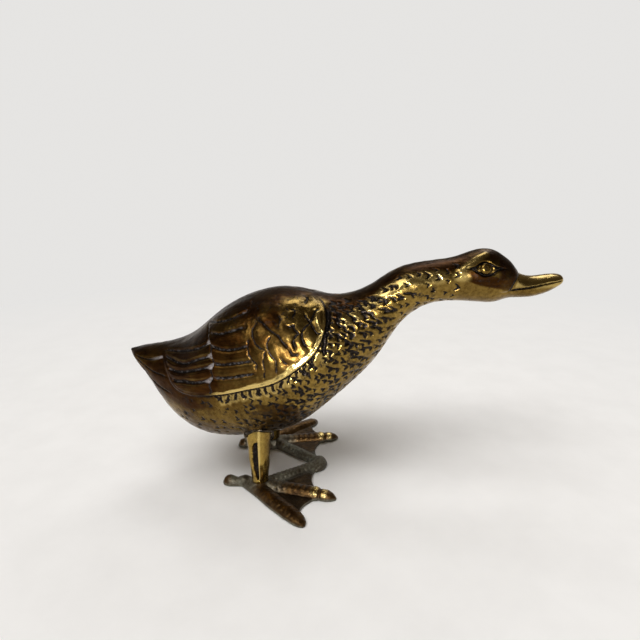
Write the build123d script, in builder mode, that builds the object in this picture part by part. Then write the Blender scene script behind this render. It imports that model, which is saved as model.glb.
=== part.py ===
from build123d import *
import os
from collections import namedtuple
from math import cos, radians, sin

# Brass duck ornament, in millimetres: +X is forward, +Y is the duck's left, +Z is up, the floor is at zero
Section = namedtuple("Section", "x top bottom width tilt", defaults=[0.0])

# Stance
BELLY_HEIGHT = 20.0
LEG_X = -35.3
LEG_SPACING = 40.0

# Fits: brazed and screwed faces stand this far apart
SEAT_GAP = 0.05

# Hollow casting: the wall, and how far forward and back the core of the mould reached
WALL = 2.6
CORE_REAR = -80.0
CORE_FRONT = 65.0

# Cross-sections from the tail tip to the root of the bill.
# Heights are above the belly line, and tilt leans a section's top forward, in degrees.
HEAD_WIDTH = 20.8
CROWN = Section(64.5, 91.9, 67.8, HEAD_WIDTH)
BODY_SECTIONS = [
    Section(-100.2, 42.3, 41.3, 2.6),
    Section(-96.6, 43.0, 37.4, 11.4),
    Section(-90.0, 44.2, 29.5, 21.0),
    Section(-78.0, 46.7, 11.8, 36.4),
    Section(-67.0, 51.8, 3.6, 47.8),
    Section(-56.0, 60.4, 0.4, 55.0),
    Section(-40.0, 68.9, 1.0, 60.0),
    Section(-27.0, 72.0, 3.7, 61.0),
    Section(-12.5, 70.9, 11.2, 56.4),
    Section(-1.5, 70.0, 20.6, 48.2),
    Section(9.5, 72.1, 30.8, 37.4),
    Section(20.5, 78.6, 44.1, 28.6),
    Section(31.5, 84.3, 60.4, 23.2),
    Section(42.5, 86.4, 67.0, 20.6),
    Section(53.5, 88.5, 68.3, 20.0),
    CROWN,
    Section(70.0, 90.9, 67.8, 19.2),
    Section(74.2, 85.8, 68.4, 15.6, 14.0),
    Section(76.6, 82.0, 69.3, 13.8, 25.0),
]
BILL_SECTIONS = [
    Section(72.0, 81.5, 70.0, 12.2),
    Section(80.0, 80.8, 70.1, 12.5),
    Section(86.0, 79.8, 70.4, 12.5),
    Section(92.0, 80.4, 72.1, 12.0),
    Section(96.5, 80.8, 74.5, 10.6),
    Section(99.0, 80.4, 76.3, 7.6),
    Section(100.2, 79.4, 77.6, 3.6),
]

# Groove between the two halves of the bill, from the corner of the mouth to the tip
MOUTH_LINE = [(72.5, 73.4), (78.5, 74.6), (84.5, 75.5), (91.0, 76.9), (101.0, 78.6)]
MOUTH_WIDTH = 0.6
MOUTH_DEPTH = 0.7

# Eye: a dome in the side of the head, its angle in degrees above the widest line of the crown
EYE_X = 63.4
EYE_ANGLE = 21.7
EYE_RADIUS = 2.6
EYE_RISE = 1.0

# Folded wing, in three tiers of feathers, each one step prouder than the tier behind it
WING_GAP = 14.0
WING_STEP = 0.7
WING_RIM = [
    (-84.0, 50.0), (-80.0, 41.3), (-76.0, 34.6), (-71.0, 29.8), (-64.0, 29.0), (-55.0, 31.5), (-41.0, 35.5),
    (-24.0, 41.0), (-11.0, 49.0), (-5.4, 57.0), (-4.4, 64.0), (-7.5, 70.0), (-13.0, 75.0),
]
WING_CEILING = 90.0
WING_REACH = 36.0
PRIMARY_REGION = [(-90.0, 90.0), (-90.0, 20.0), (10.0, 20.0), (10.0, 90.0)]
SECONDARY_REGION = [
    (-58.0, 90.0), (-57.0, 59.0), (-53.0, 35.6), (-51.0, 20.0),
    (10.0, 20.0), (10.0, 90.0),
]
COVERT_REGION = [
    (-40.0, 90.0), (-37.0, 63.0), (-35.5, 50.0), (-32.5, 41.5), (-30.0, 20.0),
    (10.0, 20.0), (10.0, 90.0),
]

# Leg: a column that thins downwards, with a spigot through the belly wall and a groove on its outer face.
# Insets are how far it bends in towards the midline, at even steps from the foot to its top inside the body.
LEG_FOOT_RADIUS = 3.8
LEG_TOP_RADIUS = 7.7
LEG_INSETS = [0.0, 1.0, 4.2, 8.4, 13.0]
LEG_REACH = 28.0
SPIGOT_INSET = 5.6
SPIGOT_RADIUS = 3.0
SPIGOT_ROOT = 4.0
SPIGOT_RISE = 20.0
GROOVE_LENGTH = 18.4
GROOVE_WIDTH = 3.6
GROOVE_BASE = 2.0
GROOVE_DEPTH = 0.9
GROOVE_LEAN = 5.6
BRAZE_WIDTH = 1.6

# Feet: toes lie forward and outward of the leg's axis, and the flat underside is on the floor
TOE_AXIS_HEIGHT = 1.2
HUB_HEIGHT = 4.6
HUB_TOP_RADIUS = 4.4
HUB_BASE_RADIUS = 6.4
WEB_THICKNESS = 2.0
TOE_RIDGES = 2
RIDGE_PITCH = 2.8
RIDGE_RISE = 0.45
HIND_TOE_KNOBS = 2
KNOB_PITCH = 7.4
KNOB_RISE = 1.0
NAIL_LENGTH = 7.5
HIND_NAIL_LENGTH = 2.6
NAIL_TIP_RADIUS = 0.9
MIDDLE_TOE_TIP = (35.8, 7.6)
OUTER_TOE_ROOT = (-2.0, 2.4)
OUTER_TOE_TIP = (22.9, 26.9)
HIND_TOE_TIP = (-18.0, -4.2)
FEET_JOINT_FORWARD = 30.4
JOINT_KNOB_RADIUS = 3.0
JOINT_KNOB_TOP_RADIUS = 2.0
JOINT_KNOB_HEIGHT = 3.9
TOE_ROOT_RADIUS = 3.2
MIDDLE_TOE_TIP_RADIUS = 2.6
INNER_TOE_TIP_RADIUS = 2.0
OUTER_TOE_TIP_RADIUS = 2.2
HIND_TOE_RADIUS = 2.4
OUTER_WEB_END = (22.0, 25.5)
OUTER_NOTCH = (20.6, 17.0)
MIDDLE_WEB_END = (29.0, 6.2)
INNER_NOTCH = (24.2, -6.0)

# Countersunk screw from below, through the foot into the leg
SCREW_RADIUS = 2.0
SCREW_HEAD_RADIUS = 3.6
SCREW_LENGTH = 10.0
SCREW_RECESS = 0.3
SCREW_SLOT_WIDTH = 0.9
SCREW_SLOT_DEPTH = 0.7
COUNTERSINK_ANGLE = 90.0
TAP_RUNOUT = 1.0

LEG_Y = -LEG_SPACING / 2
spigot_y = LEG_Y + SPIGOT_INSET


# Body forms

def oval(section, grow):
    """One cross-section of the body, in halves that meet on the midline, enlarged by grow all round."""
    lean = radians(section.tilt)
    half_width = section.width / 2 + grow
    half_height = (section.top - section.bottom) / 2 / cos(lean) + grow
    centre = (section.x, 0, BELLY_HEIGHT + (section.top + section.bottom) / 2)
    with BuildSketch(Plane(origin=centre, x_dir=(0, 1, 0), z_dir=(cos(lean), 0, -sin(lean)))) as outline:
        with BuildLine():
            EllipticalCenterArc((0, 0), half_width, half_height, start_angle=90, arc_size=180)
            EllipticalCenterArc((0, 0), half_width, half_height, start_angle=270, arc_size=180)
        make_face()
    return outline.sketch


def form(sections, grow=0.0):
    """A smooth closed form through a list of cross-sections."""
    with BuildPart() as lofted:
        loft([oval(section, grow) for section in sections])
    return lofted.part


def side_plane(distance):
    """A plane facing the duck's right, this far out from the midline, with its origin on the belly line."""
    return Plane(origin=(0, -distance, BELLY_HEIGHT), x_dir=(1, 0, 0), z_dir=(0, -1, 0))


body_form = form(BODY_SECTIONS)
bill_form = form(BILL_SECTIONS)
core_form = form([section for section in BODY_SECTIONS if CORE_REAR < section.x < CORE_FRONT], -WALL)
seat_form = form(BODY_SECTIONS, SEAT_GAP)


# Wing tiers of the right side: the swollen body, cut to the outline of each tier

def wing_tier(step, front_region):
    """The part of the folded wing that lies inside a region, raised by a number of steps."""
    swollen_body = form(BODY_SECTIONS, step * WING_STEP)
    rim_rear = WING_RIM[0]
    rim_front = WING_RIM[-1]
    with BuildPart() as tier:
        with BuildSketch(side_plane(WING_GAP / 2)):
            with BuildLine():
                Spline(*WING_RIM)
                Polyline(rim_front, (rim_front[0], WING_CEILING), (rim_rear[0], WING_CEILING), rim_rear)
            make_face()
            Polygon(*front_region, align=None, mode=Mode.INTERSECT)
        extrude(amount=WING_REACH - WING_GAP / 2)
        add(swollen_body, mode=Mode.INTERSECT)
    return tier.part


primaries = wing_tier(1, PRIMARY_REGION)
secondaries = wing_tier(2, SECONDARY_REGION)
coverts = wing_tier(3, COVERT_REGION)

# Groove of the mouth, as deep as its named depth below the bill's surface
bill_core = form(BILL_SECTIONS, -MOUTH_DEPTH)
with BuildPart() as mouth_groove:
    with BuildSketch(side_plane(0)):
        with BuildLine() as mouth_path:
            Spline(*MOUTH_LINE)
        trace(mouth_path.line, line_width=MOUTH_WIDTH)
    extrude(amount=HEAD_WIDTH / 2)
    add(bill_core, mode=Mode.SUBTRACT)

# Body halves
eye_lift = radians(EYE_ANGLE)
head_side = HEAD_WIDTH / 2 * cos(eye_lift)
eye_height = (CROWN.top + CROWN.bottom) / 2 + (CROWN.top - CROWN.bottom) / 2 * sin(eye_lift)

with BuildPart() as right_body_half:
    add(body_form)
    add(bill_form)
    add(mouth_groove.part, mode=Mode.SUBTRACT)
    add(primaries)
    add(secondaries)
    add(coverts)
    with Locations((EYE_X, EYE_RADIUS - EYE_RISE - head_side, BELLY_HEIGHT + eye_height)):
        Sphere(EYE_RADIUS)
    add(core_form, mode=Mode.SUBTRACT)
    with Locations((LEG_X, spigot_y, BELLY_HEIGHT)):
        Cylinder(
            SPIGOT_RADIUS + SEAT_GAP,
            SPIGOT_RISE,
            align=(Align.CENTER, Align.CENTER, Align.MIN),
            mode=Mode.SUBTRACT,
        )
    split(bisect_by=Plane.XZ, keep=Keep.TOP)

with BuildPart() as left_body_half:
    mirror(right_body_half.part, about=Plane.XZ)


# Legs

def leg_column(grow=0.0):
    """The bent, tapered column of the right leg, from the foot up into the body, enlarged by grow all round."""
    height = BELLY_HEIGHT + LEG_REACH - HUB_HEIGHT
    flare = LEG_TOP_RADIUS - LEG_FOOT_RADIUS
    rings = []
    for step, inset in enumerate(LEG_INSETS):
        share = step / (len(LEG_INSETS) - 1)
        with BuildSketch(Plane((LEG_X, LEG_Y + inset, HUB_HEIGHT + height * share))) as ring:
            Circle(LEG_FOOT_RADIUS + flare * share + grow)
        rings.append(ring.sketch)
    with BuildPart() as column:
        loft(rings)
    return column.part


plain_leg = leg_column()
groove_lean = radians(GROOVE_LEAN)
groove_floor = Plane(
    origin=(LEG_X, LEG_Y - LEG_FOOT_RADIUS + GROOVE_DEPTH, HUB_HEIGHT + GROOVE_BASE),
    x_dir=(1, 0, 0),
    z_dir=(0, -cos(groove_lean), sin(groove_lean)),
)

with BuildPart() as right_leg:
    add(plain_leg)
    add(seat_form, mode=Mode.SUBTRACT)
    with Locations((LEG_X, spigot_y, BELLY_HEIGHT + SPIGOT_ROOT)):
        Cylinder(SPIGOT_RADIUS, SPIGOT_RISE - SPIGOT_ROOT, align=(Align.CENTER, Align.CENTER, Align.MIN))
    with BuildSketch(groove_floor):
        with BuildLine():
            ThreePointArc((0, 0), (GROOVE_WIDTH / 2, GROOVE_LENGTH / 2), (0, GROOVE_LENGTH))
            ThreePointArc((0, GROOVE_LENGTH), (-GROOVE_WIDTH / 2, GROOVE_LENGTH / 2), (0, 0))
        make_face()
    extrude(amount=LEG_TOP_RADIUS, mode=Mode.SUBTRACT)
    with Locations((LEG_X, LEG_Y, 0)):
        Cylinder(
            SCREW_RADIUS + SEAT_GAP,
            SCREW_RECESS + SCREW_LENGTH + TAP_RUNOUT,
            align=(Align.CENTER, Align.CENTER, Align.MIN),
            mode=Mode.SUBTRACT,
        )

with BuildPart() as left_leg:
    mirror(right_leg.part, about=Plane.XZ)

# Beads of braze in the corner between leg and belly
wide_leg = leg_column(BRAZE_WIDTH)
wide_body = form(BODY_SECTIONS, BRAZE_WIDTH)
seat_leg = leg_column(SEAT_GAP)

with BuildPart() as right_leg_braze:
    add(wide_leg)
    add(wide_body, mode=Mode.INTERSECT)
    add(seat_form, mode=Mode.SUBTRACT)
    add(seat_leg, mode=Mode.SUBTRACT)

with BuildPart() as left_leg_braze:
    mirror(right_leg_braze.part, about=Plane.XZ)


# Feet

def foot_point(place):
    """A plan point of the right foot, from its distances forward and outward of the leg."""
    forward, outward = place
    return (LEG_X + forward, LEG_Y - outward)


def toe(root, tip, radii, ridges=0, pitch=0.0, rise=0.0, nail_length=0.0):
    """A tapered toe, turned about its own axis just above the floor, with ridges behind its nail."""
    start = Vector(*foot_point(root), TOE_AXIS_HEIGHT)
    reach = Vector(*foot_point(tip), TOE_AXIS_HEIGHT) - start
    direction = reach.normalized()
    root_radius, tip_radius = radii
    row_end = reach.length - nail_length
    row_start = row_end - ridges * pitch
    taper = (tip_radius - root_radius) / row_end
    side_line = [(0, 0), (0, root_radius)]
    for step in range(2 * ridges + 1):
        along = row_start + step * pitch / 2
        side_line.append((along, root_radius + taper * along + rise * (step % 2)))
    if nail_length:
        side_line.append((reach.length, NAIL_TIP_RADIUS))
    side_line.append((reach.length, 0))
    with BuildPart() as turned_toe:
        with BuildSketch(Plane(origin=start, x_dir=direction, z_dir=direction.cross(Vector(0, 0, 1)))):
            Polygon(*side_line, align=None)
        revolve(axis=Axis(start, direction))
    return turned_toe.part


hub = (0, 0)
middle_radii = (TOE_ROOT_RADIUS, MIDDLE_TOE_TIP_RADIUS)
inner_radii = (TOE_ROOT_RADIUS, INNER_TOE_TIP_RADIUS)
outer_radii = (TOE_ROOT_RADIUS, OUTER_TOE_TIP_RADIUS)
hind_radii = (HIND_TOE_RADIUS, HIND_TOE_RADIUS)
inner_toe_tip = (FEET_JOINT_FORWARD - JOINT_KNOB_RADIUS, LEG_Y)
toes = [
    toe(hub, MIDDLE_TOE_TIP, middle_radii, TOE_RIDGES, RIDGE_PITCH, RIDGE_RISE, NAIL_LENGTH),
    toe(OUTER_TOE_ROOT, OUTER_TOE_TIP, outer_radii),
    toe(hub, inner_toe_tip, inner_radii),
    toe(hub, HIND_TOE_TIP, hind_radii, HIND_TOE_KNOBS, KNOB_PITCH, KNOB_RISE, HIND_NAIL_LENGTH),
]

with BuildPart() as feet_casting:
    add(toes)
    with Locations((LEG_X, LEG_Y, 0)):
        Cone(HUB_BASE_RADIUS, HUB_TOP_RADIUS, HUB_HEIGHT, align=(Align.CENTER, Align.CENTER, Align.MIN))
    with Locations(foot_point(inner_toe_tip)):
        Cone(
            JOINT_KNOB_RADIUS,
            JOINT_KNOB_TOP_RADIUS,
            JOINT_KNOB_HEIGHT,
            align=(Align.CENTER, Align.CENTER, Align.MIN),
        )
    with BuildSketch():
        with BuildLine():
            Line(foot_point(OUTER_TOE_ROOT), foot_point(OUTER_WEB_END))
            ThreePointArc(foot_point(OUTER_WEB_END), foot_point(OUTER_NOTCH), foot_point(MIDDLE_WEB_END))
            ThreePointArc(foot_point(MIDDLE_WEB_END), foot_point(INNER_NOTCH), foot_point(inner_toe_tip))
            Polyline(foot_point(inner_toe_tip), foot_point(hub), foot_point(OUTER_TOE_ROOT))
        make_face()
    extrude(amount=WEB_THICKNESS)
    split(bisect_by=Plane.XY, keep=Keep.TOP)
    split(bisect_by=Plane.XZ, keep=Keep.TOP)
    with Locations(Plane(origin=(LEG_X, LEG_Y, 0), z_dir=(0, 0, -1))):
        CounterSinkHole(
            SCREW_RADIUS + SEAT_GAP,
            SCREW_HEAD_RADIUS + SCREW_RECESS + SEAT_GAP,
            depth=2 * HUB_HEIGHT,
            counter_sink_angle=COUNTERSINK_ANGLE,
        )
    add(seat_leg, mode=Mode.SUBTRACT)
    mirror(about=Plane.XZ)

# Screws
with BuildPart() as right_foot_screw:
    with BuildSketch(Plane(origin=(LEG_X, LEG_Y, SCREW_RECESS), x_dir=(1, 0, 0), z_dir=(0, -1, 0))):
        Polygon(
            (0, 0),
            (SCREW_HEAD_RADIUS, 0),
            (SCREW_RADIUS, SCREW_HEAD_RADIUS - SCREW_RADIUS),
            (SCREW_RADIUS, SCREW_LENGTH),
            (0, SCREW_LENGTH),
            align=None,
        )
    revolve(axis=Axis((LEG_X, LEG_Y, 0), (0, 0, 1)))
    with Locations((LEG_X, LEG_Y, SCREW_RECESS)):
        Box(
            2 * SCREW_HEAD_RADIUS,
            SCREW_SLOT_WIDTH,
            SCREW_SLOT_DEPTH,
            align=(Align.CENTER, Align.CENTER, Align.MIN),
            mode=Mode.SUBTRACT,
        )

with BuildPart() as left_foot_screw:
    mirror(right_foot_screw.part, about=Plane.XZ)

# Finished pieces
pieces = {
    "right_body_half": right_body_half,
    "left_body_half": left_body_half,
    "right_leg": right_leg,
    "left_leg": left_leg,
    "right_leg_braze": right_leg_braze,
    "left_leg_braze": left_leg_braze,
    "feet_casting": feet_casting,
    "right_foot_screw": right_foot_screw,
    "left_foot_screw": left_foot_screw,
}
os.makedirs("parts", exist_ok=True)
for name, piece in pieces.items():
    piece.part.label = name
    export_step(piece.part, f"parts/{name}.step")
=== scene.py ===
from functools import partialmethod

import bpy
import numpy as np
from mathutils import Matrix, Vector, noise as random_field


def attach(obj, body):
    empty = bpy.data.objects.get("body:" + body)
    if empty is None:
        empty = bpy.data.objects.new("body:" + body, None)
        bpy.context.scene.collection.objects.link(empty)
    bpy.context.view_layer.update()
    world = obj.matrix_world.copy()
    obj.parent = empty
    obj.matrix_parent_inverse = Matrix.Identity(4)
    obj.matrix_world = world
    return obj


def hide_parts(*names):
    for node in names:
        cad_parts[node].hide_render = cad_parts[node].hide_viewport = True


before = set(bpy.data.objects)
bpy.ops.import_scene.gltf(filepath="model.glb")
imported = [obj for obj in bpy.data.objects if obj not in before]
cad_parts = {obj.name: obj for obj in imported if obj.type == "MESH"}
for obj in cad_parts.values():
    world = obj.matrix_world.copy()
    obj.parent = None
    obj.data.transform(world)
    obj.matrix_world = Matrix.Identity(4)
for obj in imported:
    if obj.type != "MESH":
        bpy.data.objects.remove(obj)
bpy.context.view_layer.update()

# Brass duck ornament, worked out in millimetres. Heights on the body are above its belly line.
MM = 0.001
BELLY = 20.0
LEG_X = -35.3
LEG_Y = -20.0
FAR_OFF = 99.0

# Cross-sections of the body from tail to bill: place along the body, top, bottom, width
STATIONS = np.array([
    (-100, 42.2, 41.3, 1.8), (-96.6, 43, 37.4, 11.4), (-90, 44.2, 29.5, 21), (-78, 46.7, 11.8, 36.4),
    (-67, 51.8, 3.6, 47.8), (-56, 60.4, 0.4, 55), (-40, 68.9, 1, 60), (-27, 72, 3.7, 61),
    (-12.5, 70.9, 11.2, 56.4), (-1.5, 70, 20.6, 48.2), (9.5, 72.1, 30.8, 37.4), (20.5, 78.6, 44.1, 28.6),
    (31.5, 84.3, 60.4, 23.2), (42.5, 86.4, 67, 20.6), (53.5, 88.5, 68.3, 20), (64.5, 91.8, 67.8, 20.8),
    (70, 90.8, 67.8, 19.2), (73.8, 88.3, 68.9, 16.6), (77, 85.2, 69.8, 14.4), (79.6, 82, 70, 13),
    (82, 80.6, 70.1, 12.5), (86, 79.8, 70.4, 12.5), (92, 80.4, 72.1, 12), (96.5, 80.8, 74.5, 10.6),
    (99, 80.4, 76.3, 7.6), (99.9, 79.4, 77.6, 3.6),
])
TAIL_TIP = (-100.2, 0, 41.8)
BILL_TIP = (100.2, 0, 78.5)

# Rings and columns of the body's grid, and how close they are along it and in degrees from its ridge
ALONG = 470
ROUND = 204
ALONG_CLOSENESS = ([-95, -60, -50, 0, 15, 40, 52, 80, 100], [0.8, 0.9, 1.2, 1.2, 1, 1, 1.35, 1.2, 1])
ROUND_CLOSENESS = ([0, 25, 45, 105, 130, 180], [0.7, 0.8, 1.3, 1.3, 0.9, 0.7])

# Folded wing, drawn on the side of the body as (along, height)
WING_RIM = [
    (-86.5, 52), (-84, 46.5), (-80, 41.6), (-76, 35.6), (-72.1, 31.1), (-66.8, 29.6), (-61.6, 29.6),
    (-54.3, 31), (-47.1, 32.6), (-38.5, 35), (-30.7, 37), (-25.1, 39), (-20.3, 41.7), (-14.8, 45.4),
    (-11.1, 48.3), (-8, 52), (-5.6, 57), (-4.4, 62), (-5.2, 66.5), (-8.5, 70), (-13, 74),
]
SECONDARY_EDGE = [
    (30, -53.6), (36.7, -53), (42.9, -52), (47.7, -52.3), (50.8, -53.8), (54.8, -55.4), (58, -58.5),
    (70, -62),
]
COVERT_EDGE = [(30, -30), (41.5, -32.6), (48.1, -35.1), (55.7, -37.2), (63, -37.1), (75, -39)]
PRIMARY_LINES = [
    [(-81, 44.4), (-72, 45.4), (-65, 47.2), (-58.5, 50), (-54.6, 52.6)],
    [(-80.2, 42.9), (-74.4, 41.9), (-67.4, 41.9), (-62.1, 44.1), (-52.8, 47.9)],
    [(-77.2, 38.9), (-74, 38.3), (-67, 39), (-61.7, 40.6), (-52.6, 43.9)],
    [(-74.4, 35), (-72.6, 34.5), (-67.8, 35), (-61.4, 35.7), (-53.4, 38.2)],
]
SECONDARY_LINES = [
    [(-58, 62.4), (-50, 64.6), (-44, 67), (-39.5, 69)],
    [(-59.1, 57.9), (-48, 60.6), (-40.3, 63.9), (-38, 65)],
    [(-54.8, 55.3), (-49.6, 55.9), (-44.4, 57.7), (-38.6, 59.6)],
    [(-53.4, 51.2), (-48.8, 50.7), (-43.6, 51.1), (-37, 53.2)],
    [(-52, 45.2), (-48.4, 44.9), (-44.4, 45.6), (-40.9, 46.3), (-34.5, 47.6)],
    [(-52, 39.4), (-45.8, 39.9), (-38.4, 41.6), (-33, 42.6)],
]

# Chased lines between the small feathers of the wing and on its shoulder
COVERT_LINES = [
    [(-34.9, 64.2), (-33.2, 62.6), (-30.8, 61.4), (-28.4, 59.5), (-26.1, 58.3), (-24, 57.2),
     (-22.6, 55.4), (-20.9, 53.7), (-19.4, 52.4)],
    [(-26.6, 57.9), (-28, 55.9), (-28.7, 54.2), (-28, 51.8), (-26.6, 50), (-24.7, 48.1), (-24.7, 46),
     (-24.5, 42.5)],
    [(-33.2, 62.6), (-33.9, 60.8), (-35.2, 59), (-34.9, 56.5), (-33.4, 54.1), (-31.4, 52.7),
     (-29.1, 51.9)],
    [(-29, 52), (-29.8, 49.4), (-30, 46.7), (-29.3, 44.2), (-29.7, 40.3)],
    [(-36.9, 56.3), (-36.8, 52.9), (-36.2, 49.9), (-34.7, 48), (-32.7, 46.5), (-32.8, 43.6)],
    [(-22.9, 49.5), (-21.6, 47.6), (-19.9, 46.7)],
    [(-19.4, 52.4), (-18.3, 50.3), (-15.8, 50.3)],
    [(-24.6, 64.4), (-23.8, 63), (-24, 61.3), (-24.6, 60.2)],
]
SHOULDER_LINES = [
    [(-21.3, 60.9), (-19.5, 60.3), (-18.3, 61), (-17.8, 59.4), (-16, 58.1), (-17.4, 56.8), (-18, 55.2),
     (-16.9, 52.2)],
    [(-19.8, 65.9), (-18.4, 66.2), (-17.8, 65), (-18.7, 63.7)],
    [(-14.3, 65.2), (-13.3, 63.3), (-11.2, 61.5), (-13.3, 60.2), (-14.5, 58.9), (-14.5, 56.3),
     (-13.4, 54), (-11.7, 52.8)],
    [(-11.2, 61.5), (-9.8, 59.3), (-8.5, 57.8), (-6.4, 57.3)],
    [(-7.7, 65.9), (-9.3, 65), (-10.5, 63.4), (-11.2, 61.5)],
    [(-13.9, 70.2), (-13.1, 69.2), (-14.3, 67.8)],
]
FRONT_CLEFT = [(-4.2, 67.8), (-3.6, 65), (-3.6, 60.7), (-4.4, 57.1), (-5, 53.2), (-4.4, 48.2)]
FRONT_LOBE = [(-8.7, 64.9), (-8.3, 62.3), (-7.3, 60.1), (-6.2, 58.2)]

# Tail feathers, head and bill
TAIL_LINES = [
    [(-80.3, 42.2), (-87.5, 40.4), (-96, 41.2)],
    [(-77, 35), (-86, 36), (-95, 40.2)],
    [(-75, 28), (-84, 30.4), (-93, 37.6)],
]
# Line along the neck where a highlight is painted in light gold
NECK_HIGHLIGHT = [(3.7, 61.9), (11.1, 66.3), (21, 73.8), (27.4, 77.8), (35.9, 80.4), (44.3, 81)]
EYE = (63.6, 84.4)
EYE_LIDS = [
    [(56.1, 84.2), (58.6, 84.6), (60.6, 85.9), (63.8, 86.9), (66.9, 85.7), (70.2, 84.5), (72.4, 84.2)],
    [(56.1, 84.2), (58.6, 83.8), (60.6, 82.7), (63.8, 81.6), (66.9, 82.3), (69.4, 83.7), (72.4, 84.2)],
]
BROW = [(53.5, 83.2), (58.7, 87.2), (64.1, 89.9)]
CHEEK = [(50.9, 79.8), (56.7, 78.3), (61.6, 76.7), (67.7, 75.5), (73.5, 74.4)]
BILL_EDGE = [(73.7, 74.4), (75.2, 75.2), (77.9, 76.4), (80.4, 77.9), (82, 79.4)]
MOUTH = [(74.6, 73.8), (78.7, 74.8), (83.5, 75.4), (86.5, 76.1), (91.9, 77.5), (99.6, 78.8)]

# Grooves of the carving, as width and depth, and what is raised or cut under
FEATHER_GROOVE = (0.52, 0.65)
COVERT_GROOVE = (0.36, 0.42)
SHOULDER_GROOVE = (0.5, 0.5)
CLEFT_GROOVE = (1.1, 0.95)
TAIL_GROOVE = (0.45, 0.4)
FRINGE_GROOVE = (0.6, 0.6)
FACE_GROOVE = (0.42, 0.6)
STEP_HEIGHT = 0.65
LEDGE_HEIGHT = 0.75
LOBE_HEIGHT = 0.7
UNDERCUT = 0.3
MARK_DEPTH = 0.38
EYE_RADIUS = 2.45
EYE_BULGE = 1.05

# What changes along the body, as places and the values there
RIDGE_LIFT = ([-72, -60, -45, -25, -12, -2], [0, 0.5, 1.1, 1.3, 0.8, 0])
RIM_SHADE = ([-84, -74, -60, -52], [0.1, 0.35, 0.6, 1])
LEDGE_WIDTH = ([-58, -40, -18, -6], [1.1, 1.7, 2.6, 2.1])
WING_PATINA = ([-90, -44, -32, -20, -4], [1, 1, 0.82, 0.55, 0.35])
MARK_PITCH = ([-70, -25, -5, 14, 26, 45], [5, 3.9, 3.5, 3.9, 4.6, 4.9])
MARK_SIZE = ([-60, -25, 5, 25, 45], [1.7, 1.8, 2, 1.95, 2])
MARK_STROKE = ([-60, -20, 8, 24], [0.30, 0.44, 0.46, 0.30])
NAPE_SHARE = ([2, 22], [0.5, 1])
REAR_SHARE = ([-60, -20], [1, 0])
MOUTH_FADE = ([76, 86, 94, 100], [1, 0.8, 0.4, 0.25])

# Right foot, forward and outward of the leg: the line of each toe, then shares of its length
# with half width and height
TOES = {
    "middle": ([(0, 0), (18, 3.6), (36.2, 7.7)], [
        (0, 3.6, 4.6), (0.3, 3.9, 4.4), (0.6, 4.1, 4.4), (0.74, 4, 4.5), (0.775, 3.8, 4.3),
        (0.79, 2.9, 3.6), (0.81, 3.3, 4.1), (0.88, 3.3, 4), (0.95, 2.3, 2.9), (0.985, 1.2, 1.7),
        (1, 0.5, 0.8),
    ]),
    "outer": ([(-7.5, -1.9), (-1.5, 2.6), (6, 9.8), (12.6, 16.2), (18.7, 22), (23, 26.8)], [
        (0, 2.9, 3.8), (0.2, 3.8, 4.2), (0.5, 4.1, 4.2), (0.75, 4.1, 4), (0.9, 3.4, 3.4),
        (0.97, 2.1, 2.3), (1, 0.7, 0.9),
    ]),
    "inner": ([(0, 0), (9, -6.2), (18, -12.8), (24.5, -17.8), (27.4, -20.3)], [
        (0, 3.4, 4.4), (0.3, 3.3, 4.1), (0.6, 3.1, 3.9), (0.85, 2.9, 3.7), (1, 2.5, 3.5),
    ]),
    "joint": ([(25, -13.5), (27.2, -20), (25, -26.5)], [
        (0, 1, 1.6), (0.25, 3.2, 3.6), (0.5, 3.9, 4.1), (0.75, 3.2, 3.6), (1, 1, 1.6),
    ]),
    "hind": ([(0, 0), (-4, -1.6), (-8.1, -2.6), (-11.8, -2.4), (-15.4, -2.7), (-18.6, -3.2)], [
        (0, 3.2, 4.2), (0.25, 3, 3.6), (0.44, 3.2, 4.6), (0.63, 2.7, 3.2), (0.82, 3.2, 4.5),
        (0.93, 2.7, 3.7), (1, 0.9, 1.2),
    ]),
}
WEB_EDGE = [
    [(-2, 2.4), (10, 13.8), (22, 25.4)], [(22, 25.4), (20.4, 17), (29, 6.6)],
    [(29, 6.6), (24, -6), (27.4, -19.6)], [(27.4, -19.6), (13.7, -9.8), (0, 0)],
]
WEB_HEIGHT = 1.8
FOOT_GRAIN = 0.32

# Right leg: radius at the foot and its growth with height, how far it bends inward by height,
# and the groove on its outer face as (height, rear edge)
LEG_FOOT = 4.62
LEG_TOP = 37.0
LEG_RADIUS = 3.8
LEG_FLARE = 0.09
LEG_INSETS = [(4.6, 0), (15.45, 1), (26.3, 4.2), (37.15, 8.4), (48, 13)]
GROOVE_EDGE = [
    (6.2, 0), (6.8, -0.16), (8.5, -0.38), (12, -0.56), (16, -0.62), (20, -0.56),
    (22.6, -0.44), (24.4, -0.24), (25, 0),
]

# Turned forms on the leg's axis as (radius, height): hub of the foot, screw hole in foot and leg
FOOT_HUB = [
    (0.05, 0), (6.2, 0), (5.6, 2.2), (4.5, 4.3), (4.3, LEG_FOOT - 0.05), (0.05, LEG_FOOT - 0.05),
]
FOOT_HOLE = [(4.55, -0.6), (2.05, 1.9), (2.05, 7)]
LEG_HOLE = [(2.1, LEG_FOOT), (2.1, 8), (2.1, 11.4)]

# Drops of braze: degrees round the leg from its front, shift from the bead, reach each way
BRAZE_DROPS = [
    (4, (0.2, -0.4, -1.2), (1.5, 1.5, 2.4)),
    (262, (0, 0.2, 1.2), (2.3, 1.2, 2.2)),
    (205, (-0.2, 0, -0.4), (1.3, 1.5, 1.7)),
]


# Smooth lines and steps

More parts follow.
